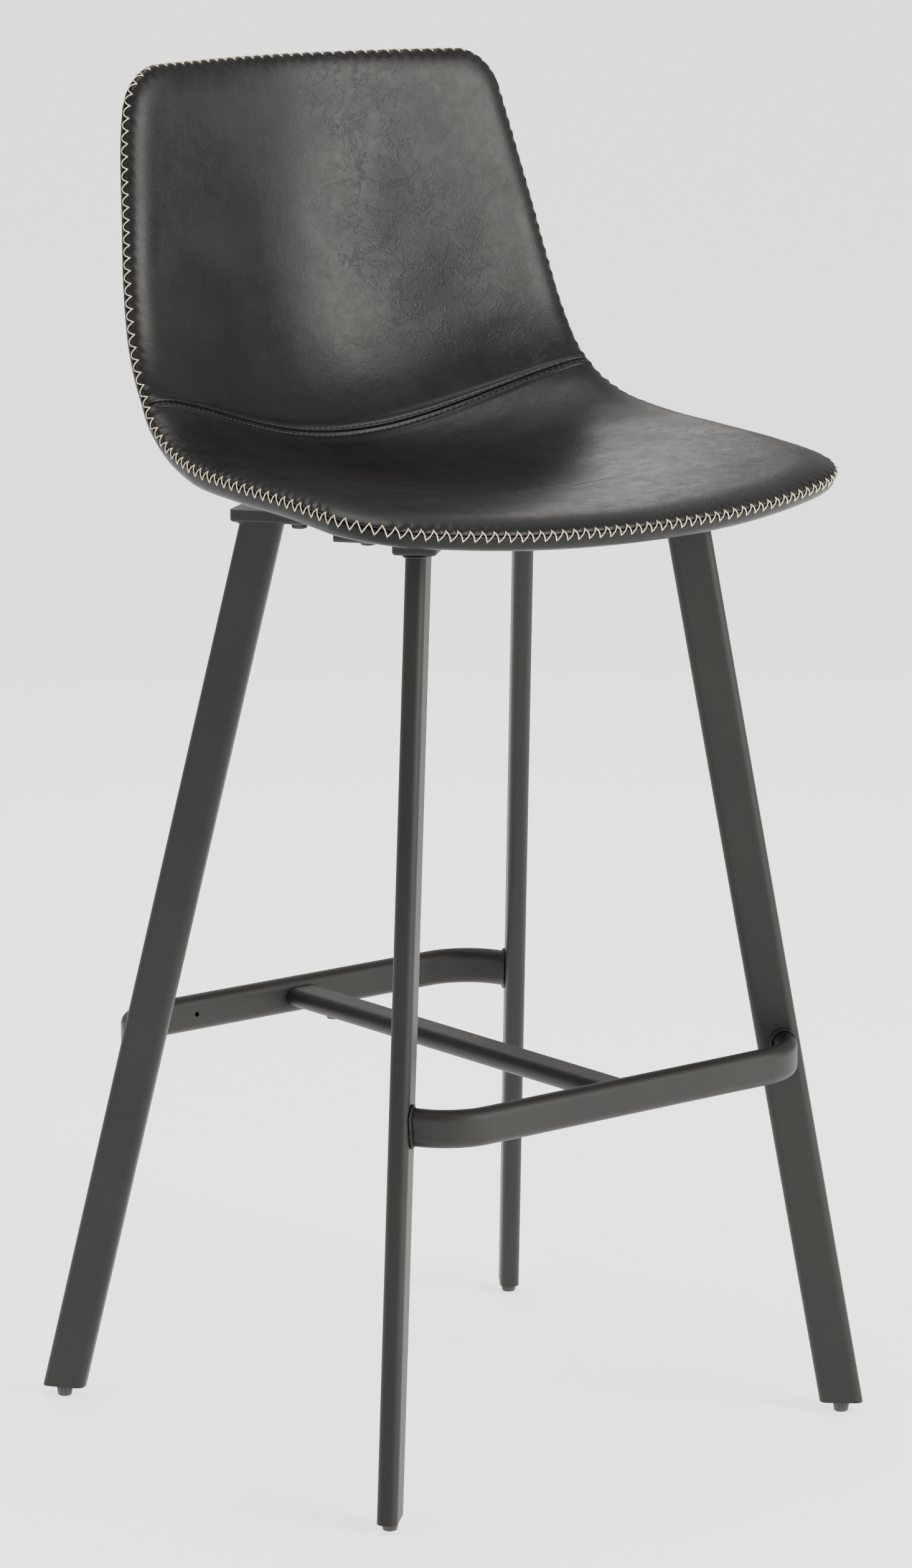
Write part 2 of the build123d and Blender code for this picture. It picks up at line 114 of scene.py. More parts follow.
# %% Camera
VIEW_AZIMUTH = math.radians(-38.76)
VIEW_ELEVATION = math.radians(11.55)
VIEW_DISTANCE = 4.1975
LENS = 126.4
AIM_HEIGHT = 0.4933
aim = Vector((0, 0, AIM_HEIGHT))
back = Vector(
    (
        math.sin(VIEW_AZIMUTH) * math.cos(VIEW_ELEVATION),
        -math.cos(VIEW_AZIMUTH) * math.cos(VIEW_ELEVATION),
        math.sin(VIEW_ELEVATION),
    )
)
camera_data = bpy.data.cameras.new("camera")
camera_data.lens = LENS
camera = bpy.data.objects.new("camera", camera_data)
camera.location = aim + back * VIEW_DISTANCE
camera.rotation_euler = back.to_track_quat("Z", "Y").to_euler()
bpy.context.scene.collection.objects.link(camera)
bpy.context.scene.camera = camera
print("camera at", [round(c, 3) for c in camera.location])

# %% [markdown]
# ## Floor
#
# A product studio stands its furniture on a white sweep that is lit from all round, so
# the floor has hardly any shadow and no visible end. A curved backdrop would do it too,
# but a very large flat plane with a little light of its own gives the same evenness
# from every side of the stool.

# %% Floor
FLOOR_SIZE = 120.0
FLOOR_GLOW = 1.5
nothing_selected()
bpy.ops.mesh.primitive_plane_add(size=FLOOR_SIZE, location=(0, 0, 0))
floor = bpy.context.object
floor.name = "studio_floor"
floor_finish = bpy.data.materials.new("pale_floor")
floor_finish.use_nodes = True
floor_surface = floor_finish.node_tree.nodes["Principled BSDF"]
floor_surface.inputs["Base Color"].default_value = (0.93, 0.93, 0.93, 1)
floor_surface.inputs["Roughness"].default_value = 0.9
floor_surface.inputs["Emission Color"].default_value = (1, 1, 1, 1)
floor_surface.inputs["Emission Strength"].default_value = FLOOR_GLOW
floor.data.materials.append(floor_finish)
print("floor", FLOOR_SIZE, "m square")

# %% [markdown]
# ## Light
#
# Black leather shows its form almost only by what it reflects. A broad warm softbox in
# front gives the back its long soft highlight, a wide one overhead fills the seat, and
# weak ones behind and on the left draw the tubes' rounded corners. A pale surround
# keeps the rest from going black. Smaller lamps would be easier to place, but their
# highlights would have hard edges.

# %% Light
SURROUND_STRENGTH = 0.62
WARM_WHITE = (1.0, 0.965, 0.90)
world = bpy.data.worlds.new("studio")
bpy.context.scene.world = world
world.use_nodes = True
surround = world.node_tree.nodes["Background"]
surround.inputs["Color"].default_value = (1, 1, 1, 1)
surround.inputs["Strength"].default_value = SURROUND_STRENGTH


def softbox(name, location, target, size, power):
    data = bpy.data.lights.new(name, "AREA")
    data.shape = "RECTANGLE"
    data.size, data.size_y = size
    data.energy = power
    data.color = WARM_WHITE
    box = bpy.data.objects.new(name, data)
    box.location = location
    facing = Vector(location) - Vector(target)
    box.rotation_euler = facing.to_track_quat("Z", "Y").to_euler()
    bpy.context.scene.collection.objects.link(box)
    print(name, power, "W over", size, "m")


softbox("front_softbox", (1.15, -2.9, 1.6), (0, 0, 0.85), (2.1, 2.0), 150)
softbox("top_softbox", (-0.2, 0.4, 3.2), (0, 0, 0.7), (2.4, 1.6), 50)
softbox("rear_softbox", (1.5, 2.4, 1.9), (0, 0, 0.75), (1.4, 1.0), 12)
softbox("left_softbox", (-3.4, -0.6, 1.6), (0, 0, 0.6), (1.0, 2.2), 10)

# %% [markdown]
# ## Finishes
#
# Each finish is a node recipe in object coordinates, so its grain keeps one real size
# over every piece and needs no unwrapping. Image textures would be quicker, but they
# stretch over curved pieces and stop being sharp close up. A recipe is a small class
# here, because writing out every node and link would hide what is being mixed.


# %% Finish helpers
class Recipe:
    """A material being mixed: adds nodes and links by short names."""

    def __init__(self, name):
        self.material = bpy.data.materials.new(name)
        self.material.use_nodes = True
        self.tree = self.material.node_tree
        self.surface = self.tree.nodes["Principled BSDF"]
        self.place = self.tree.nodes.new("ShaderNodeTexCoord").outputs["Object"]

    def node(self, kind, inputs=(), **settings):
        made = self.tree.nodes.new("ShaderNode" + kind)
        for key, value in settings.items():
            setattr(made, key, value)
        for key, value in dict(inputs).items():
            if hasattr(value, "links"):
                self.tree.links.new(value, made.inputs[key])
            else:
                made.inputs[key].default_value = value
        return made

    def cloud(self, scale, detail=4.0, roughness=0.55, distortion=0.0):
        return self.node(
            "TexNoise",
            {
                "Vector": self.place,
                "Scale": scale,
                "Detail": detail,
                "Roughness": roughness,
                "Distortion": distortion,
            },
        ).outputs["Fac"]

    def ramp(self, value, *stops):
        made = self.node("ValToRGB", {"Fac": value})
        elements = made.color_ramp.elements
        while len(elements) < len(stops):
            elements.new(0.5)
        for element, (at, colour) in zip(elements, stops):
            element.position = at
            element.color = (*colour, 1)
        return made.outputs["Color"]

    def stretch(self, value, low, high, to_low, to_high):
        spans = {"From Min": low, "From Max": high, "To Min": to_low, "To Max": to_high}
        return self.node("MapRange", {"Value": value, **spans}).outputs["Result"]

    def math(self, operation, *values):
        return self.node("Math", enumerate(values), operation=operation).outputs[0]

    def times(self, a, b):
        return self.math("MULTIPLY", a, b)

    def plus(self, a, b):
        return self.math("ADD", a, b)

    def bump(self, height, distance, strength=1.0, under=None):
        inputs = {"Height": height, "Distance": distance, "Strength": strength}
        if under is not None:
            inputs["Normal"] = under
        return self.node("Bump", inputs).outputs["Normal"]

    def set(self, **values):
        for key, value in values.items():
            socket = self.surface.inputs[key.replace("_", " ")]
            if hasattr(value, "links"):
                self.tree.links.new(value, socket)
            else:
                socket.default_value = value


print("recipe starts from", Recipe("trial").surface.name)
bpy.data.materials.remove(bpy.data.materials["trial"])

# %% [markdown]
# ## Leather-look
#
# The covers are a coated black leather-look: an even soft sheen, a broad mottle as from
# waxing and wear, fine cracks in patches, a light crumple and tiny pores.
# Cracks could be drawn with Voronoi cells, but those close up into a giraffe pattern,
# so they follow the line where a noise crosses its middle value instead.

# %% Leather-look
def leather_finish(name, dark, light, shine):
    mix = Recipe(name)
    mottle = mix.cloud(38.0, 5.0, 0.65)
    tone = mix.plus(mix.times(mix.cloud(7.0, 3.0), 0.6), mix.times(mottle, 0.4))
    mix.set(Base_Color=mix.ramp(tone, (0.35, dark), (0.68, light)))
    # cracks run where a noise is near its middle value, and only in patches
    patches = mix.stretch(mix.cloud(9.0, 2.0), 0.45, 0.62, 0.0, 1.0)
    wander = mix.math("SUBTRACT", mix.cloud(52.0, 5.0, 0.66, distortion=0.5), 0.5)
    cracks = mix.times(mix.stretch(mix.math("ABSOLUTE", wander), 0.0, 0.03, -1.0, 0.0), patches)
    crumple = mix.cloud(120.0, 6.0, 0.62, distortion=0.8)
    pores = mix.node("TexVoronoi", {"Vector": mix.place, "Scale": 780.0}, feature="SMOOTH_F1")
    gloss = mix.plus(mix.times(mottle, 0.5), mix.times(crumple, 0.5))
    mix.set(Roughness=mix.stretch(gloss, 0.35, 0.65, 0.34, 0.46))
    broad = mix.bump(mix.cloud(16.0, 3.0), 0.0012, 0.4)
    cracked = mix.bump(cracks, 0.00016, 0.5, broad)
    crumpled = mix.bump(crumple, 0.00035, 0.45, cracked)
    mix.set(Normal=mix.bump(pores.outputs["Distance"], 0.00014, 0.35, crumpled))
    mix.set(Specular_IOR_Level=shine)
    return mix.material


seat_leather = leather_finish(
    "black_leather", (0.0036, 0.0034, 0.0040), (0.0092, 0.0088, 0.0080), 0.28
)
# The rear cover's copy of the leather is a little darker and half as shiny as the seat's:
# painted shade on the back and underside.
shaded_rear_leather = leather_finish(
    "black_leather_rear_painted_shade", (0.0036, 0.0034, 0.0038), (0.0088, 0.0084, 0.0078), 0.14
)
print("leathers", seat_leather.name, "and", shaded_rear_leather.name)

# %% [markdown]
# ## Powder coat
#
# The whole steel frame is coated after welding with one satin black powder, slightly
# warm, which melts to a faint orange peel. A tight noise bump gives the peel, and a
# slow drift of tone keeps long tubes from looking like one flat colour.


# %% Powder coat
COAT_DARK, COAT_LIGHT = (0.0050, 0.0047, 0.0038), (0.0115, 0.0109, 0.0090)


def powder_finish():
    mix = Recipe("black_powder_coat")
    speck = mix.cloud(1400.0, 2.0, 0.6)
    drift = mix.cloud(9.0, 3.0)
    tone = mix.plus(mix.times(speck, 0.5), mix.times(drift, 0.5))
    mix.set(Base_Color=mix.ramp(tone, (0.35, COAT_DARK), (0.65, COAT_LIGHT)))
    mix.set(Roughness=mix.stretch(speck, 0.3, 0.7, 0.46, 0.60))
    mix.set(Normal=mix.bump(speck, 0.00018, 0.55))
    mix.set(Specular_IOR_Level=0.32)
    return mix.material


powder = powder_finish()
print("coat", powder.name)

# %% [markdown]
# ## Thread, plastic, steel, foam and plywood
#
# The small parts differ in grain, gloss and metal, so one recipe with a few numbers
# serves them all: injection-moulded feet and plugs, blackened screws, zinc-plated studs
# and nuts, cut foam, and the stained plywood of the moulded shell. Thread gets its own,
# with a little sheen from its fibres.


# %% Thread, plastic and steel
def thread_finish(name, dark, light):
    mix = Recipe(name)
    ply = mix.cloud(1800.0, 2.0)
    mix.set(Base_Color=mix.ramp(ply, (0.3, dark), (0.7, light)))
    mix.set(Roughness=mix.stretch(ply, 0.3, 0.7, 0.6, 0.8))
    mix.set(Normal=mix.bump(ply, 0.0001, 0.6), Sheen_Weight=0.15)
    return mix.material


def plain_finish(name, dark, light, scale, rough, depth, metal=0.0):
    mix = Recipe(name)
    grain = mix.cloud(scale, 3.0)
    mix.set(Base_Color=mix.ramp(grain, (0.3, dark), (0.7, light)), Metallic=metal)
    mix.set(Roughness=mix.stretch(grain, 0.3, 0.7, *rough))
    mix.set(Normal=mix.bump(grain, depth, 0.5))
    return mix.material


cream_thread = thread_finish("cream_thread", (0.70, 0.57, 0.34), (0.93, 0.83, 0.58))
black_thread = thread_finish("black_thread", (0.012, 0.012, 0.012), (0.034, 0.034, 0.034))
glide_plastic = plain_finish(
    "glide_plastic", (0.010,) * 3, (0.022,) * 3, 900.0, (0.38, 0.55), 0.0001
)
black_steel = plain_finish(
    "blackened_steel", (0.018,) * 3, (0.035,) * 3, 600.0, (0.25, 0.42), 0.0001, 0.6
)
zinc_steel = plain_finish(
    "zinc_steel", (0.42, 0.42, 0.43), (0.62, 0.62, 0.63), 700.0, (0.28, 0.42), 0.0001, 1.0
)
foam_finish = plain_finish(
    "foam", (0.55, 0.50, 0.38), (0.70, 0.65, 0.52), 800.0, (0.85, 0.95), 0.0004
)
plywood = plain_finish(
    "stained_plywood", (0.012, 0.010, 0.008), (0.026, 0.022, 0.017), 120.0, (0.5, 0.65), 0.0002
)
print("small-part finishes mixed")

# %% [markdown]
# ## Finishes on the construction
#
# The construction says for each piece which finish it takes, as a drawing's parts list
# does. So the finishes are handed out from that list, and a piece that is added to the
# construction later gets its finish without a change here.

# %% Parts list
SLOT_FINISH = {
    "leather": seat_leather,
    "powder_coat": powder,
    "glide_plastic": glide_plastic,
    "black_steel": black_steel,
    "zinc_steel": zinc_steel,
    "foam": foam_finish,
    "moulded_shell": plywood,
}
for row in frame["record"]["subparts"]:
    node = nodes[row["node"]]
    node.data.materials.clear()
    node.data.materials.append(SLOT_FINISH[row["material_slot"]])
print("finishes on", len(nodes), "nodes")

# %% [markdown]
# ## The shell's form
#
# The seat and back are one surface, so they share one description: a line up the middle
# from the front edge, over the seat and up the back, with the surface's lean, half width
# and the rise of its sides at each point. Everything upholstered is placed on it by
# three numbers: how far across, how far along, and how deep.

# %% Middle line
# y, z, lean in degrees, half width, rise of the sides, all along the sitting surface
STATIONS = np.array(
    [
        (-226.0, 728.1, -8.0, 234.5, 5.0),
        (-195.0, 731.3, -4.0, 235.0, 10.0),
        (-150.0, 732.2, -2.0, 236.0, 16.0),
        (-95.0, 731.0, -3.0, 236.5, 23.5),
        (-40.0, 728.5, -2.0, 236.0, 30.0),
        (20.0, 727.5, 2.0, 231.5, 36.5),
        (70.0, 730.2, 9.0, 222.0, 45.0),
        (105.0, 737.0, 21.0, 216.0, 54.0),
        (132.0, 750.0, 40.0, 213.0, 59.5),
        (152.0, 775.0, 59.0, 210.5, 58.5),
        (168.0, 810.0, 69.0, 207.5, 56.0),
        (180.5, 860.0, 78.0, 202.0, 52.0),
        (188.0, 920.0, 84.0, 193.5, 45.0),
        (192.5, 979.0, 87.0, 184.0, 35.0),
        (194.0, 1036.0, 90.0, 171.0, 26.0),
    ]
)
SEAM_STATION = 8
SIDE_CURVE, SIDE_EASE = 1.7, 0.7
steps = np.linalg.norm(np.diff(STATIONS[:, :2], axis=0), axis=1)
STATION_AT = np.concatenate([[0], np.cumsum(steps)])
LENGTH = STATION_AT[-1]
SEAM_AT = STATION_AT[SEAM_STATION]


def along(t):
    """The stations' values at distance t along the middle line, as a smooth curve."""
    slopes = np.gradient(STATIONS, STATION_AT, axis=0)
    t = np.clip(t, 0, LENGTH)
    i = np.clip(np.searchsorted(STATION_AT, t, side="right") - 1, 0, len(STATION_AT) - 2)
    gap = (STATION_AT[i + 1] - STATION_AT[i])[..., None]
    s = (t - STATION_AT[i])[..., None] / gap
    start, end = STATIONS[i], STATIONS[i + 1]
    pull, push = slopes[i] * gap, slopes[i + 1] * gap
    return (
        (2 * s**3 - 3 * s**2 + 1) * start
        + (s**3 - 2 * s**2 + s) * pull
        + (3 * s**2 - 2 * s**3) * end
        + (s**3 - s**2) * push
    )


def surface_point(u, t):
    """Point of the sitting surface at u across (-1 to 1) and t along, in millimetres."""
    y, z, lean, half, rise = np.moveaxis(along(t), -1, 0)
    lean = np.radians(lean)
    height = rise * (SIDE_CURVE * u**2 - SIDE_EASE * u**4)
    return np.stack([half * u, y - height * np.sin(lean), z + height * np.cos(lean)], -1)


def surface_frame(u, t):
    """Point of the surface and its unit normal."""
    step_u, step_t = 1e-3, 0.2
    across = surface_point(u + step_u, t) - surface_point(u - step_u, t)
    ahead = surface_point(u, t + step_t) - surface_point(u, t - step_t)
    return surface_point(u, t), unit(np.cross(across, ahead))


print("middle line", round(LENGTH), "mm, seam at", round(SEAM_AT))

# %% [markdown]
# ## The outline and the rolled edge
#
# The front edge sweeps back towards rounded corners and the top has tighter ones. Both
# are written as the distance that the edge steps in from the ends of the middle line.
# Padding rolls over the edge as a quarter ellipse: broad on the sitting side, tight on
# the rear. An angle says where on the roll a point lies: 0 on the sitting side, 90 at
# the sewn line in the middle of the edge, and 180 on the rear. A bevelled box could be
# bent to this form, but then thread, holes and covers would each need their own fit.

# %% Outline
HALF_THICK = 8.6
SITTING_ROLL = 24.0  # width of the roll on the sitting side
REAR_ROLL = 8.0
TOP_CORNER = 29.0
SEAM_GAP = 2.2  # degrees between the two covers' edges at the sewn line
MEAN_HALF = 225.0
FRONT_SWEEP, SWEEP_POWER = 37.0, 2.4
FRONT_CORNER, CORNER_POWER = 34.0, 20


def front_inset(u):
    """How far the front edge steps in: a gentle sweep, then a rounded corner."""
    a = np.abs(u)
    return FRONT_SWEEP * a**SWEEP_POWER + FRONT_CORNER * a**CORNER_POWER


def top_inset(u):
    """How far the top edge steps in: nothing, then a quarter circle at each corner."""
    half = STATIONS[-1, 3]
    over = np.clip(half * np.abs(u) - (half - TOP_CORNER), 0, TOP_CORNER)
    return TOP_CORNER - np.sqrt(np.maximum(TOP_CORNER**2 - over**2, 0))


EDGE_DROP = 5.0  # how much deeper the edge hangs under the seat than at the back
DROP_END, DROP_FADE = 20.0, 110.0  # before the seam, where it has gone, and how gently


def edge_drop(t):
    """Extra depth of the rear roll: full along the seat, none from the seam up."""
    share = np.clip((SEAM_AT - DROP_END - t) / DROP_FADE, 0, 1)
    return EDGE_DROP * share * share * (3 - 2 * share)


def roll_width(angle):
    return SITTING_ROLL if angle <= 90 else REAR_ROLL


def rolled(share_across, share_along, angle, part):
    """A point on the edge's roll, its surface normal and its distance along the middle.

    At an angle of 0 or 180 that is the flat of the panel. The shares run from -1 to 1
    across and from 0 to 1 along a part: the whole shell, the seat, or the back.
    """
    turn = math.radians(angle)
    inset = roll_width(angle) * (1 - math.sin(turn))
    u = share_across * (1 - inset / MEAN_HALF)
    low = front_inset(share_across) + inset
    high = LENGTH - top_inset(share_across) - inset
    if part == "seat":
        high = SEAM_AT + 0 * high
    elif part == "back":
        low = SEAM_AT + 0 * low
    t = low + (high - low) * share_along
    here, normal = surface_frame(u, t)
    drop = HALF_THICK * (1 - math.cos(turn)) + edge_drop(t) * max(-math.cos(turn), 0)
    return here - normal * np.asarray(drop)[..., None], normal, t


def off_leather(outward, normal, angle):
    """The direction straight off the leather at an angle of the roll."""
    turn = math.radians(angle)
    out = outward * math.sin(turn) / roll_width(angle)
    return unit(out + normal * math.cos(turn) / HALF_THICK)


print("front corners step in", round(float(front_inset(1.0))), "mm")

# %% [markdown]
# ## Panel grids
#
# A panel is a grid of points on the surface. Its rows crowd together beside the seam,
# because the folded seam allowance, its raised welt and the two stitched lines are all
# within a finger's width there. Subdividing a coarse mesh would spend as many points in
# the middle of the seat, where nothing happens.

# %% Panel grid
COLUMNS = 201
SIDE_CROWDING = 0.2
PLAIN_ROWS = 120
NEAR_SEAM = [0, 0.5, 1.0, 1.5, 2.0, 2.6, 3.2, 3.8, 4.5, 5.5, 7.0, 9.0]


def column_shares(count=COLUMNS, crowding=SIDE_CROWDING):
    """From -1 to 1, evenly across the middle and closer towards both sides."""
    s = np.linspace(-1, 1, count)
    return (1 - crowding) * s + crowding * np.sin(s * math.pi / 2)


def row_shares(part):
    """From 0 at the panel's low end to 1 at its high end."""
    length = SEAM_AT if part == "seat" else LENGTH - SEAM_AT
    near = np.array(NEAR_SEAM) / (length - front_inset(1.0) / 2)
    plain = np.linspace(0, 1 - near[-1], PLAIN_ROWS, endpoint=False)
    towards_seam = np.concatenate([plain, 1 - near[::-1]])
    return towards_seam if part == "seat" else 1 - towards_seam[::-1]


def grid_faces(rows, columns, first=0, flip=False):
    faces = []
    for i in range(rows - 1):
        for j in range(columns - 1):
            a = first + i * columns + j
            quad = (a, a + 1, a + columns + 1, a + columns)
            faces.append(quad[::-1] if flip else quad)
    return faces


print("seat grid", len(row_shares("seat")), "by", COLUMNS)

# %% [markdown]
# ## Tension in the leather
#
# Leather that is pulled over foam isn't a clean surface: it bellies between its fixed
# edges. Cloth simulation gives that, and it costs less guessing than pushing points
# about. A light sheet is held along its rim and blown out a little from the foam, and
# how far each point moves along the normal is kept as a soft relief for the panel. The
# panel itself isn't simulated, because its seam and rolled edge are too fine for it.

# %% Leather relief by cloth simulation
CLOTH_COLUMNS, CLOTH_ROWS = 56, 44
CLOTH_FRAMES = 20
CLOTH_PRESSURES = {"seat": 0.12, "back": 0.22}
CLOTH_SETTINGS = {
    "vertex_group_mass": "rim",
    "quality": 6,
    "bending_stiffness": 0.6,
    "tension_stiffness": 25,
    "compression_stiffness": 25,
    "use_pressure": True,
}
RELIEF_LIMIT = 2.6
CALMING_PASSES = 10


def pinned_sheet(points):
    """A coarse sheet whose outermost points belong to the group that is held."""
    faces = grid_faces(CLOTH_ROWS, CLOTH_COLUMNS)
    sheet = mesh_piece("sheet", points.reshape(-1, 3) * MM, faces)
    border = np.ones(points.shape[:2], bool)
    border[1:-1, 1:-1] = False
    rim = sheet.vertex_groups.new(name="rim")
    rim.add([int(i) for i in np.flatnonzero(border)], 1.0, "REPLACE")
    return sheet


def blown(sheet, pressure):
    """Where the sheet's points are once the simulation has run."""
    cloth = sheet.modifiers.new("Cloth", "CLOTH")
    for key, value in CLOTH_SETTINGS.items():
        setattr(cloth.settings, key, value)
    cloth.settings.uniform_pressure_force = pressure
    cloth.settings.effector_weights.gravity = 0
    cloth.collision_settings.use_collision = False
    for step in range(1, CLOTH_FRAMES + 1):
        bpy.context.scene.frame_set(step)
    evaluated = sheet.evaluated_get(bpy.context.evaluated_depsgraph_get())
    moved = np.empty(len(sheet.data.vertices) * 3)
    evaluated.data.vertices.foreach_get("co", moved)
    bpy.context.scene.frame_set(1)
    return moved / MM


def calmed(relief):
    """Leather is stiffer than the sheet and draws no fine folds, so they are smoothed."""
    for _ in range(CALMING_PASSES):
        inner = relief[:-2, 1:-1] + relief[2:, 1:-1] + relief[1:-1, :-2] + relief[1:-1, 2:]
        relief[1:-1, 1:-1] = 0.5 * relief[1:-1, 1:-1] + 0.125 * inner
    rows, columns = relief.shape
    towards_rows = 1 - np.linspace(-1, 1, rows) ** 6
    return relief * np.outer(towards_rows, 1 - np.linspace(-1, 1, columns) ** 6)


def simulated_relief(part, pressure):
    """How far each point of a coarse panel moves along its normal, in millimetres."""
    shares = np.meshgrid(np.linspace(-1, 1, CLOTH_COLUMNS), np.linspace(0, 1, CLOTH_ROWS))
    here, normal, _ = rolled(*shares, 0, part)
    sheet = pinned_sheet(here)
    facing = sheet.data.polygons[0].normal.dot(Vector(normal[0, 0]))
    moved = blown(sheet, math.copysign(pressure, facing)).reshape(here.shape)
    bpy.data.objects.remove(sheet, do_unlink=True)
    swell = ((moved - here) * normal).sum(-1)
    print(part, "sheet moved up to", round(float(np.abs(swell).max()), 2), "mm")
    return calmed(np.clip(swell, -RELIEF_LIMIT, RELIEF_LIMIT))


def spline_weights(f):
    """Shares of the four nearest grid values at the fraction f between the middle two."""
    before, after = (3 * f**3 - 6 * f**2 + 4) / 6, (3 * (f - f**2) * f + 3 * f + 1) / 6
    return (1 - f) ** 3 / 6, before, after, f**3 / 6


def sampled(field, across, along_it):
    """The coarse field at shares across and along, as a smooth spline through its grid."""
    rows, columns = field.shape
    x = np.clip((across + 1) / 2 * (columns - 1), 0, columns - 1.001)
    y = np.clip(along_it * (rows - 1), 0, rows - 1.001)
    i, j = y.astype(int), x.astype(int)
    total = 0 * x
    for row, weight_y in enumerate(spline_weights(y - i), -1):
        for column, weight_x in enumerate(spline_weights(x - j), -1):
            value = field[np.clip(i + row, 0, rows - 1), np.clip(j + column, 0, columns - 1)]
            total = total + weight_y * weight_x * value
    return total


relief = {part: simulated_relief(part, pressure) for part, pressure in CLOTH_PRESSURES.items()}
for part, field in relief.items():
    print(part, "relief from", round(field.min(), 2), "to", round(field.max(), 2), "mm")

# %% [markdown]
# ## Seam, folds and puckers
#
# Small reliefs are added to a panel's points along the normal: the welt and the
# stitched lines beside the seam, the simulated tension, the foam's unevenness, and one
# slack fold across the front of the seat. A bump map could draw them, but then they
# would be missing from the mesh, and their outline would stay clean.

# %% Reliefs
BROAD_UNEVEN, BROAD_SIZE = 0.7, 90.0  # height of the foam's unevenness, and its size
FINE_UNEVEN, FINE_SIZE = 0.16, 26.0
STITCH_ROW = 4.0  # distance of a stitched line from the seam
# each relief is a sum of bells, given by height, place and width: beside the seam they
# are its groove, the welt, the stitched line and a swell
SEAM_BELLS = [(-1.9, 0, 0.7), (1.7, 1.9, 1.2), (-0.5, STITCH_ROW, 0.8), (0.9, 7.5, 3.0)]
# across the fold they are its ridge, a dip behind it and a swell in front
FOLD_BELLS = [(0.9, 0, 2.6), (-0.5, 6, 5), (0.5, -14, 14)]
FOLD_AT, FOLD_BOW, BOW_AT = -78, 0.00035, -40
FOLD_SWING, SWING_AT, SWING_WIDTH = 34, -190, 160
FOLD_MIDDLE, FOLD_REACH = -60, 130


def bell(x, width):
    return np.exp(-((x / width) ** 2))


def bells(s, parts):
    return sum(height * bell(s - place, width) for height, place, width in parts)


def seam_relief(s):
    """Height beside the seam, s millimetres from it."""
    return bells(np.abs(s), SEAM_BELLS)


def slack_fold(here):
    """A low ridge that wanders across the seat, in front of the hollow."""
    x, y = here[..., 0], here[..., 1]
    swing = FOLD_SWING * np.tanh((SWING_AT - x) / SWING_WIDTH)
    line = FOLD_AT + swing + FOLD_BOW * (x - BOW_AT) ** 2
    return bell(x - FOLD_MIDDLE, FOLD_REACH) * bells(y - line, FOLD_BELLS)


def soft_noise(here, size):
    points = here.reshape(-1, 3) / size
    return np.array([noise.noise(Vector(p)) for p in points]).reshape(here.shape[:-1])


def cover_height(part, here, across, along_it, t):
    """Height of the leather over the plain surface, without the slack fold."""
    height = seam_relief(t - SEAM_AT) + sampled(relief[part], across, along_it)
    height = height + BROAD_UNEVEN * soft_noise(here, BROAD_SIZE)
    return height + FINE_UNEVEN * soft_noise(here, FINE_SIZE)


print("seam welt stands", round(float(seam_relief(1.9)), 2), "mm high")

# %% [markdown]
# ## The sewn edge
#
# The whole edge is one closed loop round the shell. It is walked once to know, at every
# place, the point of the sewn line, the surface's normal and the way out of the shell,
# so that puckers, thread and needle holes all agree about where each stitch is. The
# loop holds a whole number of zigzags, so the last one meets the first.

# %% Edge loop
TOOTH = 9.6  # one full zigzag along the edge
EDGE_SPACING = 2.4


def edge_runs(rim):
    """Distance along the edge at each point of a closed rim."""
    gaps = np.linalg.norm(np.roll(rim, -1, 0) - rim, axis=1)
    return np.concatenate([[0], np.cumsum(gaps)[:-1]]), gaps.sum()


def edge_loop():
    """The outline at the level of the sitting surface, evenly spaced, with its frame."""
    across, rows = column_shares(), np.linspace(0, 1, 2 * PLAIN_ROWS)
    ends = np.ones_like(rows)
    runs = [
        (-ends, rows[::-1]),
        (across, 0 * across),
        (ends, rows),
        (across[::-1], 0 * across + 1),
    ]
    points, normals, extras = [], [], []
    for share_across, share_along in runs:
        here, normal, t = rolled(share_across, share_along, 90, "whole")
        points.append((here + normal * HALF_THICK)[:-1])
        normals.append(normal[:-1])
        extras.append(edge_drop(t)[:-1, None])
    points, normals, extras = (np.concatenate(v) for v in (points, normals, extras))
    at, total = edge_runs(points)
    teeth = round(total / TOOTH)
    count = teeth * round(TOOTH / EDGE_SPACING)
    want = np.linspace(0, total, count, endpoint=False)
    at = np.append(at, total)
    closed = [np.concatenate([v, v[:1]]) for v in (points, normals, extras)]
    even = [np.stack([np.interp(want, at, column) for column in v.T], -1) for v in closed]
    even[1] = unit(even[1])
    tangent = unit(np.roll(even[0], -1, 0) - np.roll(even[0], 1, 0))
    outward = unit(np.cross(tangent, even[1]))
    return even[0], even[1], outward, even[2][:, 0], teeth


edge_points, edge_normals, edge_outward, edge_extras, teeth = edge_loop()
print("edge", len(edge_points), "places,", teeth, "teeth")


# %% [markdown]
# ### Places on the roll
#
# Thread and holes are placed by two numbers: how many zigzags along the edge, and the
# angle on the roll. The leather is told the reverse, which zigzag is nearest to each of
# its points, because a needle hole pulls a pucker into the leather round it.

# %% Places on the roll
PUCKER_DEPTH = 0.55
PUCKER_WIDTH = 15.0  # degrees of the roll
HOLE_ANGLE = 20.0  # degrees from the sewn line to a row of needle holes
NEAREST_CHUNK = 400  # points compared with the whole loop at a time


def edge_place(tooth_run):
    """Sewn line's point, normal and outward direction at a run counted in teeth."""
    x = (tooth_run / teeth * len(edge_points)) % len(edge_points)
    i = int(x)
    j, f = (i + 1) % len(edge_points), x - int(x)
    mix = [v[i] * (1 - f) + v[j] * f for v in (edge_points, edge_normals, edge_outward)]
    return mix[0], unit(mix[1]), unit(mix[2])


def edge_extra(tooth_run):
    return edge_extras[int(tooth_run / teeth * len(edge_points)) % len(edge_points)]


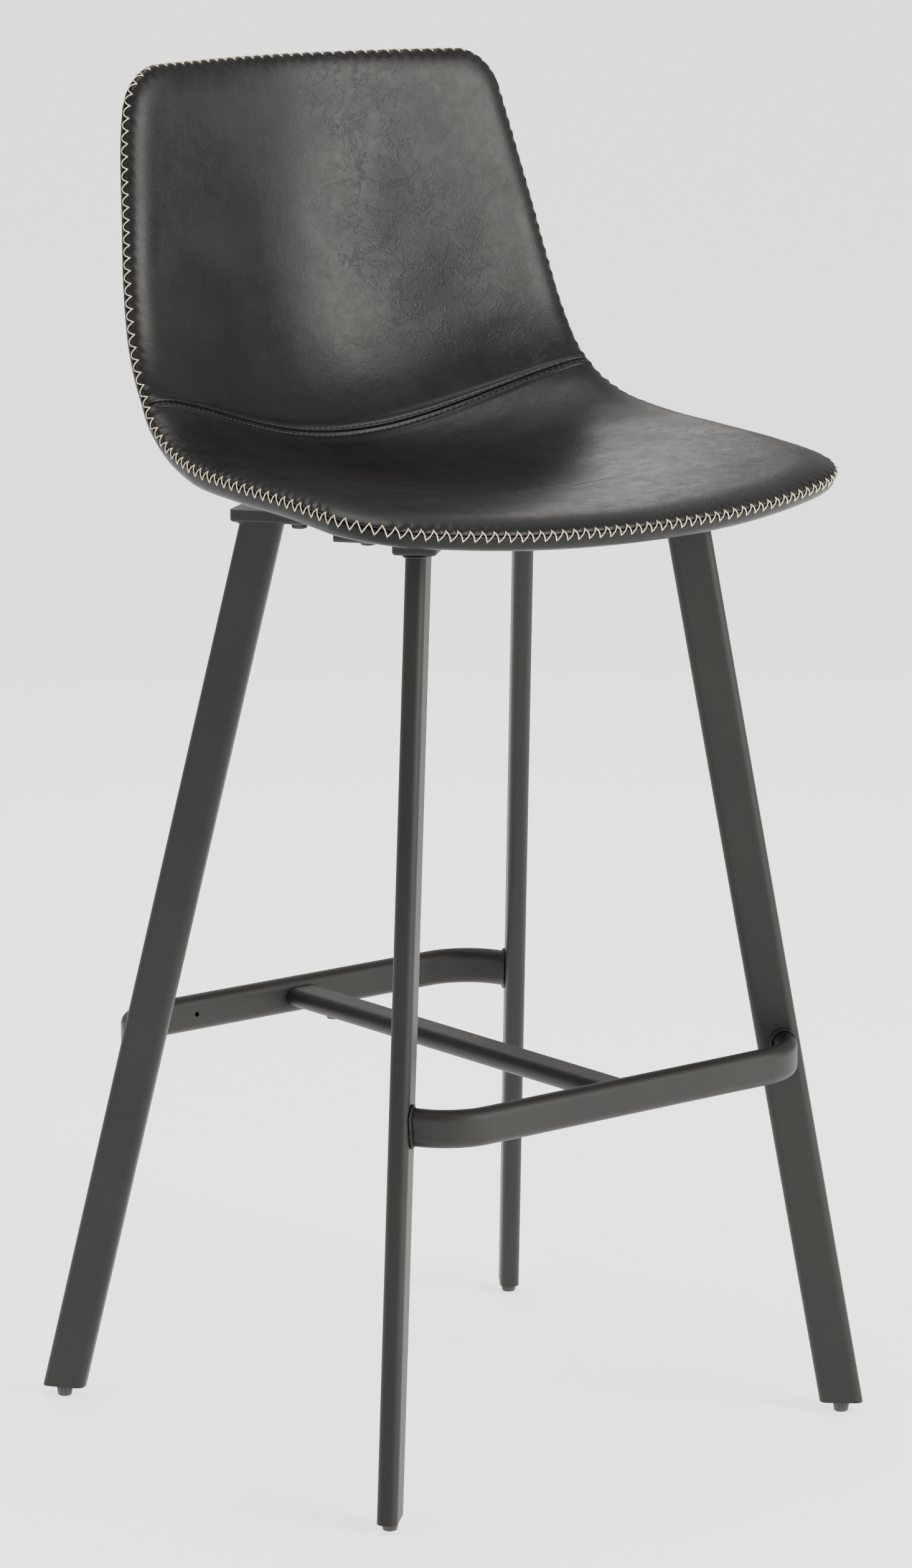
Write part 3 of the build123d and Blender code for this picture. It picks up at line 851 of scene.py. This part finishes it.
def on_roll(tooth_run, angle, lift):
    """Point on the rolled edge at a run and an angle, lifted off the leather."""
    point, normal, outward = edge_place(tooth_run)
    turn = math.radians(angle)
    inset = roll_width(angle) * (1 - math.sin(turn))
    deep = HALF_THICK * (1 - math.cos(turn)) + edge_extra(tooth_run) * max(-math.cos(turn), 0)
    on_leather = point - outward * inset - normal * deep
    return on_leather + off_leather(outward, normal, angle) * lift


def tooth_run_of(points):
    """The run, in teeth, of the sewn line's place that is nearest to each point."""
    runs = np.empty(len(points))
    sewn = edge_points - edge_normals * HALF_THICK
    for start in range(0, len(points), NEAREST_CHUNK):
        chunk = points[start : start + NEAREST_CHUNK]
        near = ((chunk[:, None] - sewn[None]) ** 2).sum(-1).argmin(1)
        step = np.roll(sewn, -1, 0)[near] - np.roll(sewn, 1, 0)[near]
        push = ((chunk - sewn[near]) * step).sum(1) / (step**2).sum(1) * 2
        runs[start : start + NEAREST_CHUNK] = (near + push) / len(sewn) * teeth
    return runs


def puckers(runs, angle):
    """Leather dips at each needle hole and swells between two of them."""
    shift = 0.0 if angle < 90 else 0.5
    wave = np.cos(2 * math.pi * (runs - shift))
    beside = bell(abs(angle - 90) - HOLE_ANGLE, PUCKER_WIDTH)
    uneven = 1 + 0.35 * np.sin(runs * 1.7) + 0.25 * np.sin(runs * 0.53 + 1)
    return -PUCKER_DEPTH * wave * beside * uneven


print("first hole at", [round(float(c)) for c in on_roll(0, 90 - HOLE_ANGLE, 0)], "mm")

# %% [markdown]
# ## Seat and back panels
#
# Each padded panel is leather over foam, sewn to its neighbours along every side. It is
# one closed form: the sitting surface, its rolled rim down to the sewn line with a lip
# that turns in, and an inner face that rests on the moulded shell. Foam and leather are
# shown as one piece, because nothing of the foam is ever seen.

# %% Panels
ROLL_ANGLES = [12, 24, 36, 46, 55, 62, 68, 74, 80, 90 - SEAM_GAP]
LIP_INSET = 1.4
INNER_DEPTH = HALF_THICK - 0.4


def rim_index(rows, columns, part):
    """Grid indices of a panel's free rim, from one end of the seam to the other."""
    grid = np.arange(rows * columns).reshape(rows, columns)
    if part == "seat":
        return np.concatenate([grid[::-1, 0], grid[0, 1:-1], grid[:, -1]])
    return np.concatenate([grid[:, -1], grid[-1, 1:-1][::-1], grid[::-1, 0]])


def rim_rings(top, normal, height, across, along_it, part):
    """The rings of points from the sitting surface's rim down to the turned-in lip."""
    sewn, _, _ = rolled(across, along_it, 90, part)
    runs = tooth_run_of(sewn)
    outward = unit(sewn - top + normal * HALF_THICK)
    rings = []
    for angle in ROLL_ANGLES:
        ring, ring_normal, _ = rolled(across, along_it, angle, part)
        lift = height * math.cos(math.radians(angle)) + puckers(runs, angle)
        rings.append(ring + off_leather(outward, ring_normal, angle) * lift[:, None])
    return rings + [rings[-1] - outward * LIP_INSET]


def panel_faces(rows, columns, part, index, rings):
    """Faces of the sitting surface, the rolled rim, the inner face and the seam side."""
    first, count = rows * columns, len(index)
    under = first + rings * count
    chains = [index] + [first + k * count + np.arange(count) for k in range(rings)]
    chains.append(index + under)
    faces = grid_faces(rows, columns)
    for lower, upper in zip(chains, chains[1:]):
        faces += [(lower[j], upper[j], upper[j + 1], lower[j + 1]) for j in range(count - 1)]
    faces += grid_faces(rows, columns, under, flip=True)
    seam_row = (rows - 1) * columns if part == "seat" else 0
    for j in range(seam_row, seam_row + columns - 1):
        faces.append((j, j + 1, under + j + 1, under + j))
    faces += [tuple(c[0] for c in chains), tuple(c[-1] for c in chains)]
    return [tuple(int(i) for i in face) for face in faces]


def padded_panel(name, part):
    across, along_it = np.meshgrid(column_shares(), row_shares(part))
    top, normal, t = rolled(across, along_it, 0, part)
    height = cover_height(part, top, across, along_it, t)
    if part == "seat":
        height = height + slack_fold(top)
    rows, columns = top.shape[:2]
    index = rim_index(rows, columns, part)
    rim = [v.reshape(rows * columns, -1)[index] for v in (top, normal)]
    rim += [v.ravel()[index] for v in (height, across, along_it)]
    rings = rim_rings(*rim, part)
    inner = top - normal * INNER_DEPTH
    sitting = top + normal * height[..., None]
    points = np.concatenate([sitting.reshape(-1, 3), *rings, inner.reshape(-1, 3)])
    faces = panel_faces(rows, columns, part, index, len(rings))
    piece = mesh_piece(name, points * MM, faces)
    piece.data.materials.append(seat_leather)
    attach(piece, "frame")
    return piece


seat_pad = padded_panel("seat_pad", "seat")
back_pad = padded_panel("back_pad", "back")
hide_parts("seat_cover", "seat_foam")
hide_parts("back_cover", "back_foam")
print("panels", len(seat_pad.data.polygons), "and", len(back_pad.data.polygons), "faces")

# %% [markdown]
# ## Rear cover
#
# One leather piece covers the back and the underside. It is the same surface seen from
# behind, a padded shell's thickness further out, and its edge rolls up tightly to meet
# the front panels. Under the seat the edge hangs a little deeper, where the leather is
# wrapped loosely. A solidify modifier gives the leather its own thickness.

# %% Rear cover
COVER_SKIN = 1.2
EDGE_BULGE = 20.0  # how far in from the edge the deeper roll reaches
REAR_UNEVEN, REAR_UNEVEN_SIZE = 0.5, 70.0
REAR_CROWDING = 0.25
REAR_COLUMNS, REAR_ROWS = 141, 181
REAR_ANGLES = [166, 152, 140, 130, 122, 114, 107, 100, 90 + SEAM_GAP]


def rear_cover():
    sides = column_shares(REAR_COLUMNS, REAR_CROWDING)
    across, along_it = np.meshgrid(sides, np.linspace(0, 1, REAR_ROWS))
    under, normal, t = rolled(across, along_it, 180, "whole")
    from_edge = np.minimum(MEAN_HALF * (1 - np.abs(across)), LENGTH * along_it)
    hollow = 1 - bell(from_edge, EDGE_BULGE)
    uneven = REAR_UNEVEN * soft_noise(under, REAR_UNEVEN_SIZE)
    under = under + normal * (edge_drop(t) * hollow - uneven)[..., None]
    grid = np.arange(across.size).reshape(across.shape)
    index = np.concatenate([grid[:0:-1, 0], grid[0, :-1], grid[:-1, -1], grid[-1, :0:-1]])
    rim_across, rim_along = across.ravel()[index], along_it.ravel()[index]
    sewn, _, _ = rolled(rim_across, rim_along, 90, "whole")
    runs = tooth_run_of(sewn)
    rings = []
    for angle in REAR_ANGLES:
        ring, ring_normal, _ = rolled(rim_across, rim_along, angle, "whole")
        way = unit(sewn - ring + ring_normal * HALF_THICK * math.cos(math.radians(angle)))
        rings.append(ring + way * puckers(runs, angle)[:, None])
    points = np.concatenate([under.reshape(-1, 3), *rings])
    faces = grid_faces(REAR_ROWS, REAR_COLUMNS, flip=True)
    count = len(index)
    chains = [index] + [across.size + k * count + np.arange(count) for k in range(len(rings))]
    for lower, upper in zip(chains, chains[1:]):
        for j in range(count):
            k = (j + 1) % count
            faces.append((lower[j], lower[k], upper[k], upper[j]))
    piece = mesh_piece("rear_cover", points * MM, [tuple(int(i) for i in f) for f in faces])
    apply_modifier(piece, "SOLIDIFY", thickness=COVER_SKIN * MM, offset=-1.0)
    # The darker, less shiny leather copy here is painted shade on the back and underside.
    piece.data.materials.append(shaded_rear_leather)
    return piece


rear = rear_cover()
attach(rear, "frame")
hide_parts("under_cover")
print("rear cover", len(rear.data.polygons), "faces")

# %% [markdown]
# ## Zigzag thread
#
# The covers are joined by one thick cream thread that crosses the seam in a zigzag. It
# goes over from the front leather to the rear leather, lies on the roll, and dives into
# its needle hole. Each pass is modelled as a thin tube of a few faces, because there
# are hundreds of them: one straight stroke is made from a cylinder, cut across where it
# will bend, and then each pass is a copy of it laid along its own path.

# %% Zigzag thread
THREAD = 0.4  # radius
THREAD_SIDES = 6
PASS_STEPS = 6
RISING_BOW, FALLING_BOW = 0.07, 0.02  # as shares of a zigzag


def modelled(template):
    """The template's points and faces; the template itself is removed."""
    bpy.ops.object.mode_set(mode="OBJECT")
    points = np.array([tuple(v.co) for v in template.data.vertices])
    faces = [tuple(f.vertices) for f in template.data.polygons]
    bpy.data.objects.remove(template, do_unlink=True)
    return points, faces


def straight_stroke(radius, rings):
    """A stroke of thread, one unit long, cut across at every place where it will bend."""
    nothing_selected()
    bpy.ops.mesh.primitive_cylinder_add(
        vertices=THREAD_SIDES, radius=radius, depth=1, location=(0, 0, 0.5)
    )
    bpy.ops.object.transform_apply(location=True)
    bpy.ops.object.mode_set(mode="EDIT")
    for k in range(1, rings - 1):
        bpy.ops.mesh.select_all(action="SELECT")
        bpy.ops.mesh.bisect(plane_co=(0, 0, k / (rings - 1)), plane_no=(0, 0, 1))
    return modelled(bpy.context.object)


def laid(stroke, path):
    """A copy of the stroke, laid along a path with one point for each of its rings."""
    points, faces = stroke
    path = np.array(path)
    ahead = unit(np.gradient(path, axis=0))
    side = unit(np.cross(ahead, ahead[len(path) // 2] + np.array([0.31, 0.17, 0.94])))
    up = np.cross(side, ahead)
    ring = np.rint(points[:, 2] * (len(path) - 1)).astype(int)
    return path[ring] + points[:, :1] * side[ring] + points[:, 1:2] * up[ring], faces


def gathered(name, parts, finish):
    """One piece from many small ones."""
    points, faces, offset = [], [], 0
    for part_points, part_faces in parts:
        points.append(part_points)
        faces += [tuple(i + offset for i in f) for f in part_faces]
        offset += len(part_points)
    piece = mesh_piece(name, np.concatenate(points) * MM, faces)
    piece.data.materials.append(finish)
    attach(piece, "frame")
    return piece


def thread_pass(start):
    """One pass over the seam, bowed a little where it rises, from a hole to the next."""
    upward = round(start * 2) % 2 == 1
    first = 90 + HOLE_ANGLE if upward else 90 - HOLE_ANGLE
    last = 180 - first
    bow = RISING_BOW if upward else FALLING_BOW
    path = []
    for s in np.linspace(0, 1, PASS_STEPS):
        run = start + 0.5 * s + bow * math.sin(math.pi * s)
        lift = THREAD * (1.7 * math.sin(math.pi * s) - 0.5)
        path.append(on_roll(run, first + (last - first) * s, lift))
    return path


zigzag_stroke = straight_stroke(THREAD, PASS_STEPS)
zigzag = gathered(
    "edge_zigzag_thread",
    [laid(zigzag_stroke, thread_pass(k / 2)) for k in range(2 * teeth)],
    cream_thread,
)
print("zigzag", len(zigzag.data.polygons), "faces")

# %% [markdown]
# ## Needle holes
#
# Each end of a pass pulls a small dark pit into the leather. Cutting hundreds of holes
# into the panels would need very fine meshes, so a pit is a little plug that sits in
# the leather, wider along the seam than across it, with its middle pushed in. One is
# shaped from a cylinder, and the others are copies of it.

# %% Needle holes
HOLE_RADIUS = 0.75
HOLE_POINTS = 8
HOLE_DEPTH, HOLE_HOLLOW = 0.6, 0.25
HOLE_NARROWING = 0.8
PAST_THREAD = 3.0  # degrees of the roll from a pass's end to its hole


def pit():
    """A low oval plug whose top is poked and pushed in, in millimetres."""
    nothing_selected()
    bpy.ops.mesh.primitive_cylinder_add(
        vertices=HOLE_POINTS,
        radius=HOLE_RADIUS,
        depth=HOLE_DEPTH,
        location=(0, 0, -HOLE_DEPTH / 2),
    )
    template = bpy.context.object
    bpy.ops.object.transform_apply(location=True)
    bpy.ops.object.mode_set(mode="EDIT")
    bpy.ops.transform.resize(value=(1, HOLE_NARROWING, 1))
    bpy.ops.mesh.select_all(action="DESELECT")
    bpy.ops.mesh.select_mode(type="FACE")
    shape = bmesh.from_edit_mesh(template.data)
    for face in shape.faces:
        face.select_set(face.normal.z > 0.9)
    bmesh.update_edit_mesh(template.data)
    bpy.ops.mesh.poke()
    bpy.ops.mesh.select_mode(type="VERT")
    shape = bmesh.from_edit_mesh(template.data)
    for vertex in shape.verts:
        vertex.select_set(vertex.co.xy.length < 0.01 and vertex.co.z > -0.1)
    bmesh.update_edit_mesh(template.data)
    bpy.ops.transform.translate(value=(0, 0, -HOLE_HOLLOW))
    return modelled(template)


needle_pit = pit()


def needle_hole(run, angle):
    points, faces = needle_pit
    middle = on_roll(run, angle, 0.0)
    out = unit(on_roll(run, angle, 1.0) - middle)
    side = unit(on_roll(run + 0.02, angle, 0.0) - middle)
    return middle + points @ np.array([side, np.cross(out, side), out]), faces


row_angles = (90 - HOLE_ANGLE - PAST_THREAD, 90 + HOLE_ANGLE + PAST_THREAD)
holes = gathered(
    "needle_holes",
    [needle_hole(k / 2, row_angles[k % 2]) for k in range(2 * teeth)],
    black_thread,
)
print("needle holes", len(holes.data.polygons), "faces")

# %% [markdown]
# ## Seam stitching
#
# Two rows of black stitches hold the turned-under edges of the seat and back panels,
# one on each side of the seam, and they run on down the rolled sides. Each stitch is a
# copy of one short stroke that sinks at both ends, because separate stitches catch the
# light one by one, which a continuous line wouldn't.

# %% Seam stitching
STITCH = 4.4
STITCH_GAP = 1.1
STITCH_RADIUS = 0.5
STITCH_POINTS = 4
LINE_POINTS = 1600
FIRST_STITCH = 2.0
ROLL_STEPS = range(6, 67, 4)  # degrees


def on_side_roll(side, offset, angle):
    """The stitched line's continuation down the rolled side of its panel."""
    inset = SITTING_ROLL * (1 - math.sin(math.radians(angle)))
    if offset > 0:
        part, share = "back", offset / (LENGTH - top_inset(1.0) - inset - SEAM_AT)
    else:
        part, share = "seat", 1 + offset / (SEAM_AT - front_inset(1.0) - inset)
    place = [np.array([v]) for v in (side, share)]
    here, normal, _ = rolled(*place, angle, part)
    sewn, _, _ = rolled(*place, 90, part)
    top, top_normal, _ = rolled(*place, 0, part)
    way = off_leather(unit(sewn - top + top_normal * HALF_THICK), normal, angle)
    return here + way * seam_relief(offset) * math.cos(math.radians(angle)), way


def seam_line(offset):
    """Points across the panels at that distance from the seam, with their normals."""
    across = np.linspace(-1, 1, LINE_POINTS)
    u = across * (1 - SITTING_ROLL / MEAN_HALF)
    t = np.full_like(u, SEAM_AT + offset)
    here, normal = surface_frame(u, t)
    part = "back" if offset > 0 else "seat"
    share = abs(offset) / (LENGTH - SEAM_AT) if offset > 0 else 1 - abs(offset) / SEAM_AT
    height = cover_height(part, here, across, np.full_like(u, share), t)
    left = [on_side_roll(-1.0, offset, angle) for angle in reversed(ROLL_STEPS)]
    right = [on_side_roll(1.0, offset, angle) for angle in ROLL_STEPS]
    lines = [v[0] for v in left], [here + normal * height[:, None]], [v[0] for v in right]
    normals = [v[1] for v in left], [normal], [v[1] for v in right]
    return np.concatenate(sum(lines, [])), np.concatenate(sum(normals, []))


def seam_stitches():
    stitch = straight_stroke(STITCH_RADIUS, STITCH_POINTS)
    parts = []
    for offset in (-STITCH_ROW, STITCH_ROW):
        line, normal = seam_line(offset)
        at = np.concatenate([[0], np.cumsum(np.linalg.norm(np.diff(line, axis=0), axis=1))])
        start = FIRST_STITCH
        while start + STITCH < at[-1]:
            path = []
            for s in np.linspace(0, 1, STITCH_POINTS):
                want = start + STITCH * s
                point = np.array([np.interp(want, at, line[:, k]) for k in range(3)])
                out = unit(np.array([np.interp(want, at, normal[:, k]) for k in range(3)]))
                path.append(point + out * STITCH_RADIUS * (1.5 * math.sin(math.pi * s) - 0.5))
            parts.append(laid(stitch, path))
            start += STITCH + STITCH_GAP
    return parts


stitches = gathered("seam_top_stitching", seam_stitches(), black_thread)
print("stitches", len(stitches.data.polygons), "faces")

# %% [markdown]
# ## Weld beads
#
# The welded corners are the frame's only rough places: a hand-run bead with small
# ripples and uneven edges, under the same powder coat. The construction has them as
# clean wedges, so a copy of those wedges is melted together by a fine voxel remesh and
# then pushed about by a small noise before the coat goes on.

# %% Weld beads
BEAD_VOXEL = 0.0009
BEAD_RIPPLE = 0.0007
BEAD_RIPPLE_SIZE = 0.0035
MELT_STRENGTH, MELT_PASSES = 0.5, 4


def weld_beads(name, node_name):
    source = nodes[node_name]
    bead = source.copy()
    bead.data = source.data.copy()
    bead.name = name
    bpy.context.scene.collection.objects.link(bead)
    only(bead)
    bpy.ops.object.mode_set(mode="EDIT")
    bpy.ops.mesh.select_all(action="SELECT")
    bpy.ops.mesh.remove_doubles(threshold=1e-6)
    bpy.ops.object.mode_set(mode="OBJECT")
    apply_modifier(bead, "REMESH", mode="VOXEL", voxel_size=BEAD_VOXEL)
    apply_modifier(bead, "SMOOTH", factor=MELT_STRENGTH, iterations=MELT_PASSES)
    ripples = bpy.data.textures.new(name + "_ripples", "CLOUDS")
    ripples.noise_scale = BEAD_RIPPLE_SIZE
    apply_modifier(bead, "DISPLACE", texture=ripples, strength=BEAD_RIPPLE, mid_level=0.55)
    bpy.ops.object.shade_smooth()
    bead.data.materials.clear()
    bead.data.materials.append(powder)
    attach(bead, "frame")
    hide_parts(node_name)
    print(name, len(bead.data.polygons), "faces")


weld_beads("arm_weld_beads", "arm_welds")
weld_beads("footrest_weld_beads", "footrest_welds")
